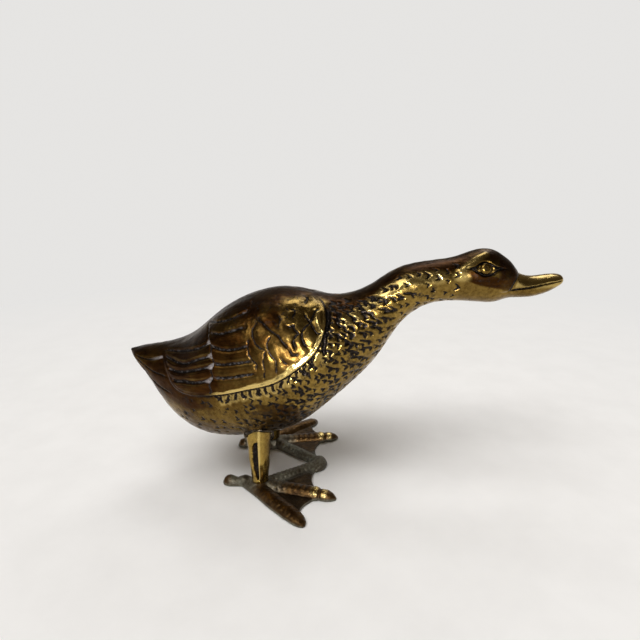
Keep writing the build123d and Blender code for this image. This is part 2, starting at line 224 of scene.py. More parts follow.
def natural_spline(knots, values, at):
    """Natural cubic spline through rows of values, one row for each knot."""
    gap = np.diff(knots)
    count = len(knots)
    system = np.zeros((count, count))
    wanted = np.zeros((count, values.shape[1]))
    system[0, 0] = system[-1, -1] = 1.0
    for k in range(1, count - 1):
        system[k, k - 1:k + 2] = gap[k - 1], 2 * (gap[k - 1] + gap[k]), gap[k]
        wanted[k] = 6 * ((values[k + 1] - values[k]) / gap[k] - (values[k] - values[k - 1]) / gap[k - 1])
    bend = np.linalg.solve(system, wanted)
    k = np.clip(np.searchsorted(knots, at, side="right") - 1, 0, count - 2)
    after, before, g = (at - knots[k])[:, None], (knots[k + 1] - at)[:, None], gap[k][:, None]
    curve = (bend[k] * before**3 + bend[k + 1] * after**3) / (6 * g)
    curve = curve + (values[k] / g - bend[k] * g / 6) * before
    return curve + (values[k + 1] / g - bend[k + 1] * g / 6) * after


def run_length(points):
    """How far along a line each of its points is."""
    return np.concatenate([[0], np.cumsum(np.linalg.norm(np.diff(points, axis=0), axis=1))])


def line_through(places, step=0.3, bend=True):
    """Points about a step apart on a line through a few places, smooth or with corners."""
    places = np.array(places, float)
    length = run_length(places)
    at = np.linspace(0, length[-1], max(8, int(length[-1] / step)))
    if bend:
        return natural_spline(length, places, at)
    return np.column_stack([np.interp(at, length, column) for column in places.T])


def value_at(table, at):
    """Values between those of a table of (place, value) pairs."""
    return np.interp(at, *np.array(table, float).T)


def nearest_on(line, points):
    """Distance of points from a line, and which of the line's points is nearest."""
    distance = np.zeros(len(points))
    nearest = np.zeros(len(points), int)
    for pick in np.array_split(np.arange(len(points)), 60):
        gaps = np.linalg.norm(points[pick][:, None] - line[None], axis=2)
        nearest[pick] = gaps.argmin(1)
        distance[pick] = gaps.min(1)
    return distance, nearest


def uneven(points, seed, pitch):
    """Smooth random unevenness, about -1 to 1, with hollows about a pitch apart."""
    shift = Vector((seed * 7.3, seed * 3.1, seed * 5.7))
    return np.array([random_field.noise(Vector(point) / pitch + shift) for point in points])


def inside_outline(points, outline):
    """Which points of the side lie inside a closed outline."""
    x, z = points[:, 0], points[:, 2]
    odd = np.zeros(len(points), bool)
    for (x0, z0), (x1, z1) in zip(outline, np.roll(outline, -1, axis=0)):
        if z0 != z1:
            odd ^= ((z0 > z) != (z1 > z)) & (x < x0 + (z - z0) / (z1 - z0) * (x1 - x0))
    return odd


def ease(low, high, value):
    """0 below low, 1 above high, and smooth between; low may be the larger."""
    t = np.clip((value - low) / (high - low), 0, 1)
    return t * t * (3 - 2 * t)


def unit(vectors):
    return vectors / np.maximum(np.linalg.norm(vectors, axis=-1, keepdims=True), 1e-9)


# Body grid of the right half

def body_profile():
    """Top, bottom and width at each ring of the grid, closer together on wing and head."""
    knots = run_length(STATIONS * (1, 1, 1, 0.5))
    fine = np.linspace(0, knots[-1], 4000)
    line = natural_spline(knots, STATIONS, fine)
    run = np.hypot(np.diff(line[:, 0]), 0.5 * np.diff(line[:, 1] - line[:, 2]))
    run *= np.interp(line[:-1, 0], *ALONG_CLOSENESS)
    reach = np.concatenate([[0], np.cumsum(run)])
    return natural_spline(knots, STATIONS, np.interp(np.linspace(0, reach[-1], ALONG), reach, fine))


PROFILE = body_profile()
MIDDLE = (PROFILE[:, 1] + PROFILE[:, 2]) / 2
HALF_HEIGHT = (PROFILE[:, 1] - PROFILE[:, 2]) / 2
HALF_WIDTH = PROFILE[:, 3] / 2


def section_at(x):
    """Middle, half height and half width of the body at places along it."""
    return (np.interp(x, PROFILE[:, 0], values) for values in (MIDDLE, HALF_HEIGHT, HALF_WIDTH))


def on_side(places):
    """Places drawn on the right side, as points on it."""
    places = np.array(places, float)
    middle, height, width = section_at(places[:, 0])
    lean = np.clip((places[:, 1] - middle) / height, -1, 1)
    return np.column_stack([places[:, 0], -width * np.sqrt(1 - lean**2), places[:, 1]])


def round_steps():
    """Angles from the ridge of the back to the belly line, closer together on the wing."""
    fine = np.linspace(0, 180, 2000)
    reach = np.cumsum(np.interp(fine, *ROUND_CLOSENESS))
    return np.radians(np.interp(np.linspace(reach[0], reach[-1], ROUND + 1), reach, fine))


ANGLES = round_steps()
GRID = np.stack([
    np.repeat(PROFILE[:, :1], ROUND + 1, axis=1),
    -HALF_WIDTH[:, None] * np.sin(ANGLES)[None],
    MIDDLE[:, None] + HALF_HEIGHT[:, None] * np.cos(ANGLES)[None],
], axis=-1)
AXIS = np.stack([PROFILE[:, 0], 0 * MIDDLE, MIDDLE], -1)[:, None]
FORWARD = unit(np.gradient(GRID, axis=0))
DOWNWARD = unit(np.gradient(GRID, axis=1))
OUTWARD = unit(np.cross(DOWNWARD, FORWARD))
OUTWARD *= np.sign((OUTWARD * (GRID - AXIS)).sum(-1, keepdims=True))
OUTWARD[:, [0, -1], 1] = 0
OUTWARD = unit(OUTWARD)


class Body:
    """The right half: height of the carving, dark recesses and painted shade, bright edges and painted
    highlights, dust and painted glints, and the wing's tiers.
    """

    def __init__(self, seed):
        self.seed = seed
        self.rng = np.random.default_rng(seed)
        grids = (GRID, FORWARD, DOWNWARD, OUTWARD)
        self.points, self.forward, self.downward, self.outward = (grid.reshape(-1, 3) for grid in grids)
        self.height, self.recess, self.edge, self.dust_and_glint = np.zeros((4, len(self.points)))
        self.waver = 1 + 0.55 * uneven(self.points, 17, 1.7)
        x, y, z = self.points.T
        self.rim = line_through(WING_RIM)
        outline = np.vstack([self.rim, [(self.rim[-1, 0], 120), (self.rim[0, 0], 120)]])
        distance, _ = self.near(WING_RIM, margin=40)
        self.depth = np.where(inside_outline(self.points, outline), distance, -distance)
        self.side = ease(5, 17, -y)
        self.outer = ease(4, 9, -y)
        self.behind = value_at(SECONDARY_EDGE, z) - 0.5 * np.cos((z - 42.2) * 2 * np.pi / 5.8)
        self.front = value_at(COVERT_EDGE, z)
        self.secondary = ease(-0.25, 0.35, x - self.behind)
        self.covert = ease(-2, 6, x - self.front)
        self.wing = ease(-0.35, 0.8, self.depth) * self.side

    def uneven(self, extra, pitch):
        return uneven(self.points, self.seed + extra, pitch)

    def darken(self, amount):
        self.recess = np.maximum(self.recess, amount)

    # Lighter gold: rubbed wear, and painted highlights.
    def brighten(self, amount):
        self.edge = np.maximum(self.edge, amount)

    # Pale dust, and pale painted glints.
    def leave_dust_and_glint(self, amount):
        self.dust_and_glint = np.maximum(self.dust_and_glint, amount)

    def near(self, places, margin=7, bend=True):
        """Distance of each grid point from a line on the side, and its share of the way along."""
        line = on_side(line_through(places, bend=bend))
        inside = (self.points > line.min(0) - margin) & (self.points < line.max(0) + margin)
        distance = np.full(len(self.points), FAR_OFF)
        along = np.zeros(len(self.points))
        pick = np.flatnonzero(inside.all(1))
        distance[pick], nearest = nearest_on(line, self.points[pick])
        along[pick] = nearest / (len(line) - 1)
        return distance, along

    def groove(self, places, width, depth, dark=1, where=1, lip=0, bend=True):
        """A groove along a line, dark inside and, where asked, rubbed bright along its lips."""
        distance, along = self.near(places, bend=bend)
        taper = ease(0, 0.12, along) * ease(1, 0.88, along) * 0.7 + 0.3
        apart = distance / (width * self.waver)
        cut = ease(1.4, 0.25, apart) * taper * where
        self.height -= depth * cut
        self.darken(dark * ease(1.8, 0.5, apart) * taper * where)
        self.brighten(lip * ease(3.4, 1.6, apart) * (1 - cut) * where)
        return distance, along

    def arrowhead(self, index, size, tilt, depth, stroke, arms):
        """A punched mark of two arms of their own lengths that meet in a point turned forward."""
        pick = np.flatnonzero((np.abs(self.points - self.points[index]) < 2 * size).all(1))
        offset = self.points[pick] - self.points[index]
        ahead, aside = offset @ self.forward[index], offset @ self.downward[index]
        from_tip = np.stack([
            ahead * np.cos(tilt) - aside * np.sin(tilt) - 0.4 * size,
            ahead * np.sin(tilt) + aside * np.cos(tilt),
        ], -1)
        cut = np.zeros(len(pick))
        for side, length in zip((-1, 1), arms):
            arm = np.array([-0.72, 0.70 * side]) * size * length
            share = np.clip(from_tip @ arm / (arm @ arm), 0, 1)
            distance = np.linalg.norm(from_tip - share[:, None] * arm, axis=1)
            cut = np.maximum(cut, ease(1.5, 0.5, distance / (size * stroke * (1 - 0.45 * share))))
        self.height[pick] -= depth * cut
        self.recess[pick] = np.maximum(self.recess[pick], cut)


def carve_body(seed):
    """The carved surface of the right half, and how far its brass has aged."""
    body = Body(seed)
    raise_wing(body)
    cut_long_feathers(body)
    ledge = cut_small_feathers(body)
    cut_tail_and_fringe(body)
    punch_marks(body)
    shape_head(body)
    roughen(body)
    return body, age_brass(body, ledge)


def raise_wing(body):
    """The ridge of the back, the three tiers of the wing and the shade under their edges."""
    x = body.points[:, 0]
    body.height += np.interp(x, *RIDGE_LIFT) * ease(0.4, 0.9, body.outward[:, 2]) * (1 - body.side)
    tiers = 0.35 + 0.65 * ease(-78, -62, x) + body.secondary + 0.8 * body.covert
    body.height += STEP_HEIGHT * tiers * body.wing
    under = ease(-1.6, -0.5, body.depth) * ease(0.3, -0.3, body.depth) * body.outer
    under *= np.interp(x, *RIM_SHADE)
    body.height -= UNDERCUT * under
    body.darken(under)
    past = x - body.behind
    step = ease(-1.3, -0.5, past) * ease(0.1, -0.25, past) * ease(0.2, 1, body.depth) * body.outer
    body.height -= UNDERCUT * step
    body.darken(0.9 * step)


def cut_long_feathers(body):
    """Grooves between the long feathers, fine barbs, dust, and a pale wedge painted as a glint where each
    groove ends.
    """
    x = body.points[:, 0]
    dust = ease(0, 0.4, body.uneven(9, 1.1))
    inner = ease(1, 2.2, body.depth) * body.outer
    on_secondary = inner * body.secondary * ease(1, -0.5, x - body.front)
    back = body.behind - x
    rows = ((PRIMARY_LINES, inner * (1 - body.secondary), 0.3), (SECONDARY_LINES, on_secondary, 0.1))
    for lines, where, shine in rows:
        nearest = np.full(len(x), FAR_OFF)
        for line in lines:
            gap, _ = body.groove(line, *FEATHER_GROOVE, where=where)
            nearest = np.minimum(nearest, gap)
            ridge = ease(0.45, 0.1, np.abs(gap - 1.3)) * where
            body.brighten(shine * ridge)
            # Pale wedge where each groove ends: a painted glint.
            wedge = ease(5, 3, back) * ease(0.2, -0.2, gap - np.maximum(0.2, 1.5 - 0.42 * back))
            wedge *= ease(-0.1, 0.2, back)
            body.leave_dust_and_glint(np.maximum(wedge, 0.28 * dust * ease(0.7, 0.2, gap)) * where)
        barbs = 0.34 * ease(0.2, 1.9, nearest) + 0.05 * np.cos(2 * np.pi * nearest / 0.95)
        body.height += barbs * where


def cut_small_feathers(body):
    """The ledge along the wing's lower edge, small feathers, and the cleft and lobe at its front, with
    highlights painted on ledge and lobe.
    """
    x, _, z = body.points.T
    width = np.interp(x, *LEDGE_WIDTH) * (1 + 0.3 * body.uneven(2, 4))
    part = ease(-59, -44, x) * ease(66, 58, z) * body.side
    ledge = ease(0, 0.4, body.depth) * ease(1.15, 0.9, body.depth / width) * part
    slope = np.clip(1 - body.depth / width, 0, 1)
    body.height += LEDGE_HEIGHT * slope * ease(-0.2, 0.3, body.depth) * part
    small = np.full(len(x), FAR_OFF)
    inside = ease(0.5, 1.5, body.depth)
    rows = ((COVERT_LINES, COVERT_GROOVE, 0.9, inside), (SHOULDER_LINES, SHOULDER_GROOVE, 1, 1))
    for lines, groove, dark, where in rows:
        for line in lines:
            gap, _ = body.groove(line, *groove, dark, where, bend=False)
            small = np.minimum(small, gap)
    feathers = ease(1.5, 3, body.depth) * ease(-1, 3, x - body.front) * ease(8, 4, small)
    swell = 0.22 * ease(0.2, 3, small) + 0.07 * body.uneven(4, 2.3)
    body.height += swell * feathers
    body.brighten(0.1 * ease(0.5, 2.2, small) * feathers * ease(-30, -18, x))
    body.groove(FRONT_CLEFT, *CLEFT_GROOVE, lip=0.3)
    lobe, _ = body.near(FRONT_LOBE)
    body.height += LOBE_HEIGHT * ease(2, 0.1, lobe)
    # The lobe and the ledge are painted light gold as highlights.
    body.brighten(ease(1.8, 0.4, lobe))
    body.brighten(ledge)
    return ledge


def cut_tail_and_fringe(body):
    """Tail feathers, the uppermost with a pale painted glint, and short strokes under the wing's lower
    edge.
    """
    below = ease(0.3, -0.5, body.depth)
    for line in TAIL_LINES:
        gap, along = body.groove(line, *TAIL_GROOVE, dark=0.75, where=below, lip=0.1)
        # Along the first half of the uppermost tail groove, a pale painted glint.
        if line is TAIL_LINES[0]:
            body.leave_dust_and_glint(ease(1.1, 0.3, gap) * ease(0.5, 0, along) * below)
    lower_rim = body.rim[20:-40]
    for place in np.arange(-49, -7, 3.3):
        foot = value_at(lower_rim, place)
        sway = body.rng.uniform(-0.7, 0.7)
        stroke = [(place + sway, foot - 1), (place - 0.5, foot - 3), (place - 0.2 - sway, foot - 4.4)]
        body.groove(stroke, *FRINGE_GROOVE, lip=0.5)


def punch_marks(body):
    """Arrowhead marks in staggered rings over neck, breast and belly."""
    ring_place = run_length(np.column_stack([PROFILE[:, 0], MIDDLE]))
    place, row = 18, 0
    while place < ring_place[-1] - 48.0:
        ring = int(np.searchsorted(ring_place, place))
        here = PROFILE[ring, 0]
        pitch, scale, stroke, bare, rear = (
            float(np.interp(here, *table))
            for table in (MARK_PITCH, MARK_SIZE, MARK_STROKE, NAPE_SHARE, REAR_SHARE)
        )
        girth = run_length(GRID[ring])
        girth -= girth[ROUND // 2]
        nape = 0.17 * (girth[-1] - girth[0]) * bare
        for column in range(-16, 17):
            spot = (column + 0.5 * (row % 2)) * pitch + body.rng.normal(0, 0.42)
            tilt = body.rng.normal(0, 0.35)
            size = body.rng.uniform(0.75, 1.2)
            chance = body.rng.random()
            shift = int(body.rng.integers(-2, 3))
            arms = body.rng.uniform(0.55, 1.15, 2)
            if chance < 0.06 + 0.3 * rear or not girth[0] + nape < spot < girth[-1] - 0.8:
                continue
            index = min(ring + shift, ALONG - 1) * (ROUND + 1) + int(np.searchsorted(girth, spot))
            high_tail = here < -66 and body.points[index, 2] > 20
            if high_tail or here < -84 or here > 53 or body.depth[index] > -1.6:
                continue
            body.arrowhead(index, size * scale, tilt, MARK_DEPTH - 0.08 * rear, stroke, arms)
        place += pitch * 0.9
        row += 1


def shape_head(body):
    """Eye, brow, cheek, the edge of the bill and the mouth."""
    x, _, z = body.points.T
    eye = np.linalg.norm(body.points - on_side([EYE])[0], axis=1)
    for line in EYE_LIDS:
        body.groove(line, *FACE_GROOVE)
    socket = ease(4, 3, eye) * ease(2.1, 2.6, eye)
    body.height -= 0.45 * socket
    body.recess = body.recess * ease(2, 2.6, eye)
    body.darken(0.62 * ease(3.1, 2.8, eye) * ease(2.2, 2.6, eye))
    ball = EYE_BULGE * np.sqrt(np.maximum(0, 1 - (eye / EYE_RADIUS) ** 2))
    body.height += ball - 0.12 * ease(1.15, 0.75, eye)
    body.darken(0.5 * ease(2.2, 1.9, eye) * ease(0.3, 0.9, np.abs(eye - 1.7)))
    almond = np.vstack([line_through(EYE_LIDS[0]), line_through(EYE_LIDS[1])[::-1]])
    body.darken(0.8 * inside_outline(body.points, almond) * ease(3, 4.2, eye))
    brow, _ = body.near(BROW)
    body.height += 0.5 * ease(3, 0.2, brow)
    # Brow, and a spot behind the eye, painted light gold as highlights.
    body.brighten(0.8 * ease(2.2, 0.6, brow))
    body.brighten(0.6 * ease(1, 0.3, np.hypot((x - 54) / 6, (z - 80.8) / 3)))
    cheek, _ = body.near(CHEEK)
    body.height -= 0.22 * ease(2.6, 0.3, cheek)
    ahead = x - value_at(BILL_EDGE, z)
    above_mouth = ease(73.2, 74.6, z)
    face = above_mouth * ease(-8, -1, ahead) * ease(0.35, -0.35, ahead)
    body.height += 0.5 * face
    body.darken(above_mouth * ease(-0.4, 0.1, ahead) * ease(1.5, 0.5, ahead))
    body.groove(MOUTH, *FACE_GROOVE, where=np.interp(x, *MOUTH_FADE))
    # Upper part of the bill painted light gold as a highlight.
    body.brighten(0.55 * ease(1.4, 2.6, ahead) * ease(74.5, 76.5, z))


def roughen(body):
    """Unevenness of the casting, pits on top of the wing and soil on the plain parts."""
    x = body.points[:, 0]
    up = body.outward[:, 2]
    plain = ease(0.5, -1, body.depth) * ease(50, 40, x)
    coarse = body.uneven(0, 3.4)
    fine = body.uneven(3, 1.3)
    body.height += coarse * (0.05 + 0.08 * plain) + fine * 0.04
    pits = ease(0.1, 0.4, body.uneven(7, 1.5)) * ease(0.45, 0.75, up)
    pits = pits * ease(-66, -54, x) * ease(-4, -20, x)
    body.height -= 0.08 * pits
    body.darken(0.6 * pits)
    soil = ease(0.05, 0.45, body.uneven(5, 3.6)) * ease(0.6, 0.1, up)
    body.darken(0.5 * soil * plain)


def age_brass(body, ledge):
    """How brown the brass is, as patina and as painted dark reflection and shade: most on top, tail, wing
    and face, least where it is rubbed and on the ledge's painted highlight.
    """
    x, y, z = body.points.T
    shoulder = ease(-27, -19, x) * ease(-3, -9, x) * ease(2.5, 8, -y) * ease(71, 68.8, z)
    # A highlight painted in light gold along the neck.
    shine, _ = body.near(NECK_HIGHLIGHT)
    body.brighten(0.85 * ease(4.5, 1, shine))
    # A patch above the leg, darker partly as a stain and partly as painted shade under the belly.
    spread = np.hypot((x + 26) / 15.5, (z - 18) / 11.5) + 0.4 * body.uneven(8, 2.2)
    stain_and_shade = ease(1.1, 0.75, spread)
    body.darken(0.26 * stain_and_shade)
    # A band on the face below and forward of the eye, darkened and browned as a painted dark reflection.
    above = z - value_at(CHEEK, x)
    bill = value_at(BILL_EDGE, z)
    face = ease(-0.8, 1, above) * np.maximum(ease(7, 4.5, above) * ease(52, 60, x), ease(67, 71, x))
    face *= x < bill
    body.darken(0.34 * face * ease(2.2, 2.9, np.hypot(x - EYE[0], z - EYE[1])))
    # On upward faces the brown is partly patina and partly a painted dark reflection.
    patina_and_painted_dark = np.maximum.reduce([
        0.12 + 0.88 * ease(0.22, 0.75, body.outward[:, 2]) * (1 - 0.85 * shoulder),
        0.55 * ease(-22, -48, x),
        0.42 * ease(48, 57, x),
        body.wing * np.interp(x, *WING_PATINA),
        body.wing * 0.74 * ease(60, 54, z) * ease(-8, -16, x),
        ease(-60, -80, x) * ease(12, 30, z),
        ease(-40, -60, x) * ease(17, 26, z),
        0.75 * stain_and_shade,
        1.15 * face,
    ])
    jaw = np.where(z < value_at(MOUTH, x), 0.85, 0.42)
    patina_and_painted_dark = np.where(x > bill, np.minimum(patina_and_painted_dark, jaw), patina_and_painted_dark)
    # The ledge is kept free of brown, as part of its painted highlight.
    return patina_and_painted_dark * (1 - 0.85 * ledge)


# Pieces

def add_object(name, data):
    made = bpy.data.objects.new(name, data)
    bpy.context.scene.collection.objects.link(made)
    return made


def plain_object(name, points, faces):
    """A mesh object from points in millimetres."""
    mesh = bpy.data.meshes.new(name)
    mesh.from_pydata((np.asarray(points) * MM).tolist(), [], [list(map(int, face)) for face in faces])
    return add_object(name, mesh)


def new_piece(name, points, faces, material, node, fields=None, seam=None):
    """A smooth piece, riding on the one body and standing for a CAD node."""
    piece = plain_object(name, points, faces)
    mesh = piece.data
    mesh.validate()
    mesh.shade_smooth()
    for field, values in (fields or {}).items():
        stored = mesh.attributes.new(field, "FLOAT", "POINT")
        stored.data.foreach_set("value", np.asarray(values, np.float32))
    if seam is not None:
        ends = np.zeros(2 * len(mesh.edges), np.int32)
        mesh.edges.foreach_get("vertices", ends)
        sharp = mesh.attributes.new("sharp_edge", "BOOLEAN", "EDGE")
        sharp.data.foreach_set("value", np.asarray(seam)[ends.reshape(-1, 2)].all(1))
    mesh.materials.append(material)
    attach(piece, "root")
    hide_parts(node)


def build_body_half(name, node, side, seed, material):
    """One closed half of the body; side is -1 for the duck's right and 1 for its left."""
    body, patina_and_painted_dark = carve_body(seed)
    rings = (body.points + body.outward * body.height[:, None]).reshape(ALONG, ROUND + 1, 3)
    rings[..., 1] = np.minimum(rings[..., 1], 0)
    rings[:, [0, -1], 1] = 0.0
    points, faces = rings_mesh(rings)
    points[-2:] = TAIL_TIP, BILL_TIP
    points, faces = mirrored(points + (0, 0, BELLY), faces, side)
    column = np.arange(ALONG * (ROUND + 1)) % (ROUND + 1)
    seam = np.append((column == 0) | (column == ROUND), [True, True])
    fields = {key: np.append(getattr(body, key), [0, 0]) for key in ("recess", "edge", "dust_and_glint")}
    fields["patina_and_painted_dark"] = np.append(patina_and_painted_dark, [0.9, 0.3])
    new_piece(name, points, faces, material, node, fields, seam)


def rings_mesh(rings, closed=True):
    """Points and faces of a skin over rings of equal count, with its ends closed or open."""
    count, sides = rings.shape[:2]
    points = rings.reshape(-1, 3)
    index = np.arange(count * sides).reshape(count, sides)
    ahead = np.roll(index, -1, axis=1)
    faces = np.stack([index[:-1], ahead[:-1], ahead[1:], index[1:]], -1).reshape(-1, 4).tolist()
    for ring, order in ((index[0], -1), (index[-1], 1)) if closed else ():
        points = np.vstack([points, points[ring].mean(0)])
        hub = len(points) - 1
        faces += [(ring[k], ring[(k + 1) % sides], hub)[::order] for k in range(sides)]
    return points, faces


def joined(parts):
    """Several meshes as one list of points and faces."""
    points, faces, start = [], [], 0
    for part_points, part_faces in parts:
        points.append(part_points)
        faces += [[k + start for k in face] for face in part_faces]
        start += len(part_points)
    return np.vstack(points), faces


def mirrored(points, faces, side):
    """The right side as it is for side -1, and its mirror image for side 1."""
    if side < 0:
        return points, faces
    return points * (1, -1, 1), [face[::-1] for face in faces]


def ring_points(x, y, z, radius, angle):
    return np.stack([x + radius * np.cos(angle), y + radius * np.sin(angle), z + 0 * angle], -1)


# Legs and braze

def leg_circle(z):
    """Centre and radius of the right leg at a height."""
    inset = value_at(line_through(LEG_INSETS), z)
    return LEG_X - 0.8 * ease(8, 30, z), LEG_Y + inset, LEG_RADIUS + LEG_FLARE * (z - LEG_FOOT)


def build_leg(name, node, side, material):
    """A tapered leg with a dark lens-shaped groove and a raised ridge outside with a highlight painted
    along it, and a screw hole.
    """
    z = np.concatenate([np.linspace(LEG_TOP, 27, 30), np.linspace(27, LEG_FOOT, 130)[1:]])[:, None]
    angle = np.linspace(0, 2 * np.pi, 160, endpoint=False)[None]
    centre, depth, radius = leg_circle(z)
    lean, facing = np.cos(angle), ease(0, 0.45, -np.sin(angle))
    rear = value_at(GROOVE_EDGE, z)
    groove = ease(-0.05, 0.07, lean - rear) * ease(0.09, -0.03, lean) * facing * (np.abs(z - 15.6) < 9.4)
    # A raised ridge beside the groove, painted light gold as a highlight.
    ridge = ease(0.15, 0, np.abs(lean - 0.17)) * facing * ease(4, 8, z) * ease(37, 31, z)
    hammered = 0.05 * np.sin(5 * angle + 0.6 * z) + 0.05 * np.sin(3 * angle - 0.9 * z)
    radius = radius - 1.35 * groove + 0.42 * ridge + hammered
    rings = ring_points(centre, depth, z, radius, angle)
    wide, high = np.array(LEG_HOLE).T[..., None]
    wall = ring_points(LEG_X, LEG_Y, high, wide, angle)
    points, faces = rings_mesh(np.concatenate([rings, wall])[:, ::-1])
    spare = np.zeros(len(points) - groove.size)
    # Painted shade: darker toward the leg's front and near its top under the belly.
    painted_shade = np.clip(0.1 + 0.5 * ease(0.42, 0.75, lean) + 0.4 * ease(27, 31, z), 0, 1)
    shades = {"recess": groove, "edge": ridge, "patina_and_painted_dark": painted_shade, "dust_and_glint": 0 * groove}
    fields = {key: np.append(shade[:, ::-1], spare) for key, shade in shades.items()}
    points, faces = mirrored(points, faces, side)
    new_piece(name, points, faces, material, node, fields)


def belly_height(x, y):
    """Height of the body's underside above the floor."""
    middle, height, width = section_at(x)
    return BELLY + middle - height * np.sqrt(np.maximum(0.02, 1 - (y / width) ** 2))


def build_braze(name, node, side, seed, material):
    """A lumpy bead of braze round the top of a leg, with larger drops on it."""
    rng = np.random.default_rng(seed)
    angle = np.linspace(0, 2 * np.pi, 120, endpoint=False)[:, None]
    z = np.full(angle.shape, 28.0)
    for _ in range(20):
        centre, depth, radius = leg_circle(z)
        z = 0.5 * z + 0.5 * belly_height(centre + radius * np.cos(angle), depth + radius * np.sin(angle))
    centre, depth, radius = leg_circle(z)
    waves = (rng.uniform(0.05, 0.16) * np.cos(k * angle + rng.uniform(0, 6.3)) for k in range(2, 9))
    thick = np.maximum(0.45, 0.9 + sum(waves))
    turn = np.linspace(0, 2 * np.pi, 20, endpoint=False)[None]
    out = radius - 0.2 + thick * np.cos(turn)
    rings = ring_points(centre, depth, z - 0.25 + 1.15 * thick * np.sin(turn), out, angle)
    middle = rings.mean(1)
    count = rings.shape[0] * rings.shape[1]
    points, faces = rings_mesh(np.concatenate([rings, rings[:1]]), closed=False)
    parts = [(points[:count], [[k % count for k in face] for face in faces])]
    spin = angle[::3].T
    lift = np.linspace(0.04, np.pi - 0.04, 20)[:, None]
    lump = 1 + 0.12 * np.sin(3 * lift + spin * 2)
    ball = ring_points(0, 0, lump * np.cos(lift), lump * np.sin(lift), spin)[:, ::-1]
    for at, shift, reach in BRAZE_DROPS:
        parts.append(rings_mesh(ball * reach + middle[int(at / 3) % len(middle)] + shift))
    points, faces = mirrored(*joined(parts), side)
    new_piece(name, points, faces, material, node)


# Feet

def foot_place(places):
    """Places forward and outward of the right leg, seen from above."""
    places = np.array(places, float)
    return np.column_stack([LEG_X + places[:, 0], LEG_Y - places[:, 1]])


def toe_shell(line, profile):
    """A toe with a flat underside, its width and height following a profile."""
    path = foot_place(line_through(line, 0.4))
    length = run_length(path)
    shares, widths, heights = np.array(profile).T
    width = np.interp(length / length[-1], shares, widths)[:, None]
    height = np.interp(length / length[-1], shares, heights)[:, None]
    along = unit(np.gradient(path, axis=0))
    across = np.column_stack([-along[:, 1], along[:, 0]])
    turn = np.linspace(0, 2 * np.pi, 32, endpoint=False)
    flat = path[:, None] + across[:, None] * (width * np.cos(turn))[..., None]
    base = np.minimum(0.9, height * 0.4)
    upper = base + (height - base) * np.sin(turn)
    lower = base * np.maximum(0, 1 + 1.8 * np.sin(turn))
    z = np.where(np.sin(turn) > 0, upper, lower)
    return rings_mesh(np.concatenate([flat, z[..., None]], -1)[:, ::-1])


def web_shell():
    plan = foot_place(np.vstack([line_through(run, 0.8)[:-1] for run in WEB_EDGE]))
    count = len(plan)
    points = np.vstack([np.column_stack([plan, np.full(count, z)]) for z in (0, WEB_HEIGHT)])
    faces = [list(range(count)), list(range(2 * count - 1, count - 1, -1))]
    faces += [[k, k + count, (k + 1) % count + count, (k + 1) % count] for k in range(count)]
    return points, faces


def turned_shell(profile, sides):
    """A form turned about the leg's axis from (radius, height) pairs."""
    turn = np.linspace(0, 2 * np.pi, sides, endpoint=False)
    radius, height = np.array(profile).T[..., None]
    return rings_mesh(ring_points(LEG_X, LEG_Y, height, radius, turn))


def grown_feet():
    """Toes, webs and hubs of both feet as one, drilled: points, directions outward and faces."""
    shells = [toe_shell(*toe) for toe in TOES.values()]
    right = joined(shells + [web_shell(), turned_shell(FOOT_HUB, 48)])
    rough = plain_object("feet_shells", *joined([right, mirrored(*right, 1)]))
    hole = turned_shell(FOOT_HOLE, 64)
    cutter = plain_object("screw_holes", *joined([hole, mirrored(*hole, 1)]))
    grown = rough.modifiers.new("grown", "REMESH")
    grown.mode = "VOXEL"
    grown.voxel_size = FOOT_GRAIN * MM
    eased = rough.modifiers.new("eased", "SMOOTH")
    eased.factor = 0.5
    eased.iterations = 4
    drilled = rough.modifiers.new("drilled", "BOOLEAN")
    drilled.operation = "DIFFERENCE"
    drilled.object = cutter
    drilled.solver = "EXACT"
    mesh = bpy.data.meshes.new_from_object(rough.evaluated_get(bpy.context.evaluated_depsgraph_get()))
    bpy.data.objects.remove(rough)
    bpy.data.objects.remove(cutter)
    points, normals = np.zeros((2, 3 * len(mesh.vertices)))
    mesh.vertices.foreach_get("co", points)
    mesh.vertex_normals.foreach_get("vector", normals)
    faces = [list(face.vertices) for face in mesh.polygons]
    bpy.data.meshes.remove(mesh)
    return points.reshape(-1, 3) / MM, normals.reshape(-1, 3), faces


def toe_marks(toe, gap, along):
    """What is raised, rubbed bright and green on a toe, by distance from its line and place along it."""
    none = 0 * gap
    if toe == "middle":
        row = ease(5, 7, along) * ease(28.4, 27.4, along)
        beads = 0.16 * np.cos(2 * np.pi * (along - 27) / 2.9) * row
        nail = 0.75 * ease(1.6, 0.6, np.abs(along - 31.6))
        return beads, ease(24.6, 26.4, along) * ease(28.6, 28.2, along) + nail, 0.6 * ease(16, 6, along)
    if toe == "inner":
        beads = 0.13 * np.cos(2 * np.pi * along / 2.3) * np.cos(np.pi * gap / 2.1) * ease(4, 7, along)
        return beads, none, none + 0.72
    if toe == "outer":
        ribs = 0.07 * np.cos(2 * np.pi * along / 2.4) * ease(0.3, 1.4, gap) * ease(6, 9, along)
        return ribs, none, 0.7 * ease(14, 4, along)
    if toe == "hind":
        return none, none, 0.75 * ease(17, 13.5, along)
    return none, none, none + 0.75


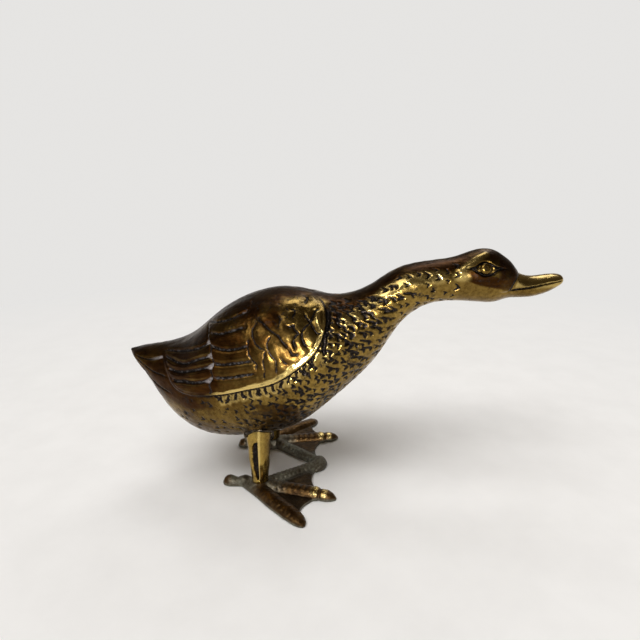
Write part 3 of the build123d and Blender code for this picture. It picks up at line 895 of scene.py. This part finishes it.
def build_feet(material):
    """Both webbed feet as one casting, with beads and ribs raised on the toes."""
    points, normals, faces = grown_feet()
    folded = np.column_stack([points[:, 0], -np.abs(points[:, 1])])
    best = np.full(len(points), FAR_OFF)
    marks = np.zeros((4, len(points)))
    top = ease(0.1, 0.6, normals[:, 2])
    for toe, (line, _) in TOES.items():
        path = foot_place(line_through(line, 0.25))
        gap, nearest = nearest_on(path, folded)
        closer = gap < np.minimum(best, 4.2)
        best = np.minimum(best, gap)
        on_toe = ease(3.8, 2.2, gap)
        raised, shine, verdigris = toe_marks(toe, gap, run_length(path)[nearest])
        marks = np.where(closer, [raised * on_toe, verdigris, shine * on_toe, 1 + 0 * gap], marks)
    lift, green, polish, brown = marks
    lift = lift + 0.1 * uneven(points, 4, 1.6) + 0.06 * uneven(points, 9, 0.8)
    points += normals * (lift * top)[:, None]
    points[:, 2] = np.maximum(points[:, 2], 0)
    green = np.maximum(green * brown, 0.12 * (1 - brown))
    green = np.maximum(green, 0.75 * ease(0.5, 0.1, normals[:, 2]) * ease(2.6, 1, points[:, 2]))
    # Darker beside the foot of each toe and in patches over the webs.
    beside = ease(2, 0.4, np.abs(best - 3.4)) * ease(2.6, 1.8, points[:, 2])
    crease = np.clip(-lift * 4, 0, 1) * top + 0.8 * beside * top
    crease += 0.85 * (1 - brown) * top * ease(0.8, -0.3, uneven(points, 6, 2.4))
    fields = {"green": green, "edge": polish * top, "recess": np.clip(crease, 0, 1)}
    new_piece("feet", points, faces, material, "feet_casting", fields)


# Materials: pairs of colours that a surface varies between, and single colours over them

BODY_GOLD = ((0.34, 0.221, 0.054), (0.165, 0.101, 0.0225))
BODY_BROWN = ((0.022, 0.0080, 0.0018), (0.064, 0.0250, 0.0048))
LEG_GOLD = ((0.44, 0.30, 0.075), (0.26, 0.165, 0.038))
LEG_BROWN = ((0.040, 0.019, 0.005), (0.12, 0.064, 0.016))
RUBBED_AND_HIGHLIGHT_GOLD = (0.70, 0.515, 0.18)
DARK_PATINA_AND_SHADE = ((0.009, 0.007, 0.0055), (0.060, 0.048, 0.044))
PALE_DUST_AND_GLINT = (0.36, 0.33, 0.33)
FEET_BROWN = ((0.040, 0.020, 0.0075), (0.150, 0.082, 0.027))
FEET_GOLD = (0.74, 0.56, 0.22)
FEET_DARK = (0.018, 0.013, 0.009)
VERDIGRIS = ((0.070, 0.070, 0.050), (0.235, 0.24, 0.18))
DARK_BRAZE = ((0.016, 0.013, 0.011), (0.085, 0.062, 0.034))
DULL_BRASS = ((0.22, 0.15, 0.05), (0.36, 0.26, 0.10))


class Nodes:
    """A node tree, with short ways to add to it."""

    def __init__(self, tree):
        self.tree = tree

    def fill(self, node, inputs):
        """Link outputs to a node's inputs, or set them to plain values."""
        for key, value in inputs.items():
            if isinstance(value, bpy.types.NodeSocket):
                self.tree.links.new(value, node.inputs[key])
            else:
                node.inputs[key].default_value = value

    def add(self, kind, inputs=None, **settings):
        node = self.tree.nodes.new("ShaderNode" + kind)
        for key, value in settings.items():
            setattr(node, key, value)
        self.fill(node, inputs or {})
        return node

    def fields(self, *names):
        return [self.add("Attribute", attribute_name=name).outputs["Fac"] for name in names]

    def math(self, operation, first, second, clamp=False):
        terms = {0: first, 1: second}
        return self.add("Math", terms, operation=operation, use_clamp=clamp).outputs[0]

    plus = partialmethod(math, "ADD")
    minus = partialmethod(math, "SUBTRACT")
    times = partialmethod(math, "MULTIPLY")
    larger = partialmethod(math, "MAXIMUM")

    def blend(self, share, first, second):
        """A colour between two, each an output or three numbers."""
        first, second = ((*c, 1.0) if isinstance(c, tuple) else c for c in (first, second))
        return self.add("Mix", {0: share, 6: first, 7: second}, data_type="RGBA").outputs[2]

    def noise(self, scale, detail=4.0, roughness=0.55, stretch=(1.0, 1.0, 1.0)):
        place = self.add("TexCoord").outputs["Object"]
        place = self.add("Mapping", {"Vector": place, "Scale": stretch}).outputs[0]
        pattern = {"Vector": place, "Scale": scale, "Detail": detail, "Roughness": roughness}
        return self.add("TexNoise", pattern).outputs[0]

    def span(self, value, low, high, out_low=0.0, out_high=1.0):
        """A value carried from one range over to another, and held at its ends."""
        ranges = {0: value, 1: low, 2: high, 3: out_low, 4: out_high}
        return self.add("MapRange", ranges).outputs[0]

    def dress(self, shader, colour, metallic, roughness, height, strength, depth):
        """Colour, metal and roughness of a surface, and a fine bump over it."""
        bumps = {"Height": height, "Strength": strength, "Distance": depth * MM}
        bump = self.add("Bump", bumps)
        looks = {"Base Color": colour, "Metallic": metallic, "Roughness": roughness}
        self.fill(shader, looks | {"Normal": bump.outputs[0]})


def new_material(name):
    material = bpy.data.materials.new(name)
    material.use_nodes = True
    tree = material.node_tree
    return material, Nodes(tree), tree.nodes["Principled BSDF"]


def worn_brass(name, gold_pair, brown_pair):
    """Old brass: gold where rubbed and where highlights are painted, brown where aged and where dark
    reflections and shade are painted, near black in recesses and painted shade, with pale dust and
    painted glints in a few.
    """
    material, net, shader = new_material(name)
    recess, edge, dust_and_glint, patina_and_painted_dark = net.fields("recess", "edge", "dust_and_glint", "patina_and_painted_dark")
    patches = net.noise(70, 5, 0.6)
    mottle = net.noise(620, 4, 0.65)
    streaks = net.noise(260, 5, 0.6, (0.35, 1.6, 1.6))
    grit = net.noise(1700, 3, 0.6)
    # Brown: patina, and painted dark reflections and shade.
    brown = net.plus(patina_and_painted_dark, net.span(patches, 0.3, 0.7, -0.3, 0.3))
    brown = net.minus(brown, net.times(edge, 0.55), clamp=True)
    gold = net.blend(net.span(mottle, 0.36, 0.66), *gold_pair)
    # Light gold where rubbed, and where highlights are painted.
    gold = net.blend(edge, gold, RUBBED_AND_HIGHLIGHT_GOLD)
    aged = net.blend(net.span(streaks, 0.35, 0.68), *brown_pair)
    colour = net.blend(brown, gold, aged)
    rag = net.plus(net.span(mottle, 0.3, 0.7, -0.2, 0.2), net.span(grit, 0.3, 0.7, -0.25, 0.25))
    # Near black: dark patina in the grooves, and painted shade under the wing's edges, above the legs and
    # on the face.
    hidden = net.span(net.plus(recess, rag), 0.34, 0.74)
    colour = net.blend(hidden, colour, net.blend(net.span(grit, 0.45, 0.75), *DARK_PATINA_AND_SHADE))
    # Pale dust in the grooves, and pale painted glints.
    dust_and_glint_share = net.times(dust_and_glint, net.span(mottle, 0.3, 0.6, 0.4, 1.0))
    colour = net.blend(dust_and_glint_share, colour, PALE_DUST_AND_GLINT)
    metallic = net.minus(1.0, net.times(dust_and_glint, 0.8))
    rough = net.plus(net.span(mottle, 0.3, 0.7, 0.13, 0.24), net.times(brown, 0.17))
    rough = net.plus(rough, net.times(recess, 0.12))
    grain = net.plus(net.times(mottle, 0.55), net.times(streaks, 0.45))
    net.dress(shader, colour, metallic, rough, grain, 0.3, 0.4)
    return material


def feet_brass():
    """Brown cast brass with grey-green verdigris, rubbed to gold on the middle toes."""
    material, net, shader = new_material("feet_brass")
    recess, edge, green = net.fields("recess", "edge", "green")
    patches = net.noise(160, 5, 0.6)
    mottle = net.noise(800, 4, 0.65)
    metal = net.blend(net.span(patches, 0.35, 0.65), *FEET_BROWN)
    crust = net.blend(net.span(mottle, 0.35, 0.65), *VERDIGRIS)
    share = net.times(green, net.span(patches, 0.3, 0.7, 0.35, 1.5), clamp=True)
    colour = net.blend(share, metal, crust)
    colour = net.blend(edge, colour, FEET_GOLD)
    colour = net.blend(net.times(recess, 0.75), colour, FEET_DARK)
    metallic = net.larger(net.minus(0.95, net.times(share, 0.7)), edge)
    rough = net.plus(net.span(mottle, 0.3, 0.7, 0.27, 0.4), net.times(share, 0.2))
    rough = net.minus(rough, net.times(edge, 0.14))
    net.dress(shader, colour, metallic, rough, mottle, 0.5, 0.6)
    return material


def plain_brass(name, pair, rough_low, rough_high, scale):
    """Mottled brass for braze and screws."""
    material, net, shader = new_material(name)
    mottle = net.noise(scale, 5, 0.6)
    colour = net.blend(net.span(mottle, 0.35, 0.65), *pair)
    rough = net.span(mottle, 0.3, 0.7, rough_low, rough_high)
    net.dress(shader, colour, 0.85, rough, mottle, 0.4, 0.5)
    return material


body_finish = worn_brass("body_brass", BODY_GOLD, BODY_BROWN)
leg_finish = worn_brass("leg_brass", LEG_GOLD, LEG_BROWN)
braze_finish = plain_brass("braze", DARK_BRAZE, 0.12, 0.30, 420.0)
screw_finish = plain_brass("screw_brass", DULL_BRASS, 0.30, 0.48, 500.0)

build_body_half("right_body", "right_body_half", -1, 11, body_finish)
build_body_half("left_body", "left_body_half", 1, 23, body_finish)
build_leg("right_shank", "right_leg", -1, leg_finish)
build_leg("left_shank", "left_leg", 1, leg_finish)
build_braze("right_bead", "right_leg_braze", -1, 5, braze_finish)
build_braze("left_bead", "left_leg_braze", 1, 8, braze_finish)
build_feet(feet_brass())
for screw in ("right_foot_screw", "left_foot_screw"):
    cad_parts[screw].data.materials.clear()
    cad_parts[screw].data.materials.append(screw_finish)


# Floor, light and camera, in metres

PALE = (0.79, 0.78, 0.765)
FLOOR_PAIR = ((0.85, 0.84, 0.825), (0.88, 0.87, 0.855))
ROOM_PAIR = ((0.060, 0.047, 0.033), (0.135, 0.112, 0.082))
FLOOR_RADIUS = 1.2
FLOOR_FADE = (0.16, 0.50)
SURROUND_FADE = (0.10, 0.26)
SENSOR_WIDTH = 36.0
FOCAL_PIXELS = 481.0
PICTURE_PIXELS = 640.0
CAMERA_PLACE = (0.00336, -0.21677, 0.140)
CAMERA_TILT = 16.0
CAMERA_TURN = 3.0


def background_rays(net):
    """Rays that see the background: straight from the viewer, and by way of metal or glass."""
    rays = net.add("LightPath").outputs
    return rays["Is Camera Ray"], net.larger(rays["Is Glossy Ray"], rays["Is Transmission Ray"])


def build_floor():
    """A pale floor that fades into the pale surround."""
    bpy.ops.mesh.primitive_circle_add(vertices=96, radius=FLOOR_RADIUS, fill_type="NGON")
    floor = bpy.context.object
    floor.name = "floor"
    material, net, shader = new_material("pale_floor")
    place = net.add("TexCoord").outputs["Object"]
    far = net.add("VectorMath", {0: place}, operation="LENGTH").outputs["Value"]
    share = net.times(net.span(far, *FLOOR_FADE), net.larger(*background_rays(net)))
    colour = net.blend(net.span(net.noise(40), 0.35, 0.65), *FLOOR_PAIR)
    net.fill(shader, {"Base Color": colour, "Roughness": 0.9, "Specular IOR Level": 0.1})
    glow = net.add("Emission", {"Color": (*PALE, 1.0), "Strength": 1.0})
    mixed = net.add("MixShader", {0: share, 1: shader.outputs[0], 2: glow.outputs[0]})
    net.fill(net.tree.nodes["Material Output"], {"Surface": mixed.outputs[0]})
    floor.data.materials.append(material)


def build_surround():
    """A dim warm room as light, and a pale surround to look at, low down in the metal too."""
    world = bpy.data.worlds.new("studio")
    bpy.context.scene.world = world
    world.use_nodes = True
    net = Nodes(world.node_tree)
    net.tree.nodes.clear()
    toward = net.add("TexCoord").outputs["Generated"]
    toward = net.add("SeparateXYZ", {0: toward}).outputs
    room = net.blend(net.span(toward["Y"], -0.3, 0.7), *ROOM_PAIR)
    direct, by_metal = background_rays(net)
    low = net.times(by_metal, net.span(toward["Z"], *SURROUND_FADE, 1.0, 0.0))
    plain = net.add("Background", {"Color": room, "Strength": 1.0}).outputs[0]
    surround = net.add("Background", {"Color": (*PALE, 1.0), "Strength": 1.0}).outputs[0]
    mixed = net.add("MixShader", {0: net.larger(direct, low), 1: plain, 2: surround})
    net.add("OutputWorld", {0: mixed.outputs[0]})


def place_lamp(name, kind, place, target, power):
    light = bpy.data.lights.new(name, kind)
    light.energy = power
    lamp = add_object(name, light)
    lamp.location = place
    lamp.rotation_euler = (Vector(target) - Vector(place)).to_track_quat("-Z", "Y").to_euler()
    return lamp


def distant_light(name, place, power, degrees):
    """Soft light from far off, from the side on which its place lies."""
    lamp = place_lamp(name, "SUN", place, (0, 0, 0), power)
    lamp.data.angle = np.radians(degrees)
    return lamp


def build_lights():
    """A small lamp near the viewer for glints, soft light from overhead and three distant lights."""
    glint = place_lamp("near_lamp", "AREA", (0, -0.245, 0.16), (0, 0, 0.06), 0.55)
    glint.data.size = 0.02
    glint.visible_diffuse = False
    overhead = distant_light("overhead_light", (-0.2, -0.3, 1.0), 1.85, 50)
    overhead.visible_glossy = False
    distant_light("left_light", (-0.5, -0.5, 0.9), 0.7, 25)
    distant_light("far_light", (0.3, 0.8, 0.8), 0.25, 20)
    distant_light("rear_light", (0.0, 0.45, 0.9), 0.42, 20)


def build_camera():
    """The viewing angle, with a lens given by its focal length in pixels of the picture."""
    data = bpy.data.cameras.new("camera")
    data.sensor_width = SENSOR_WIDTH
    data.lens = SENSOR_WIDTH * FOCAL_PIXELS / PICTURE_PIXELS
    data.clip_start = 0.01
    camera = add_object("camera", data)
    camera.location = CAMERA_PLACE
    camera.rotation_euler = (np.radians(90.0 - CAMERA_TILT), 0.0, np.radians(CAMERA_TURN))
    bpy.context.scene.camera = camera
    bpy.context.scene.view_settings.view_transform = "Standard"


build_floor()
build_surround()
build_lights()
build_camera()
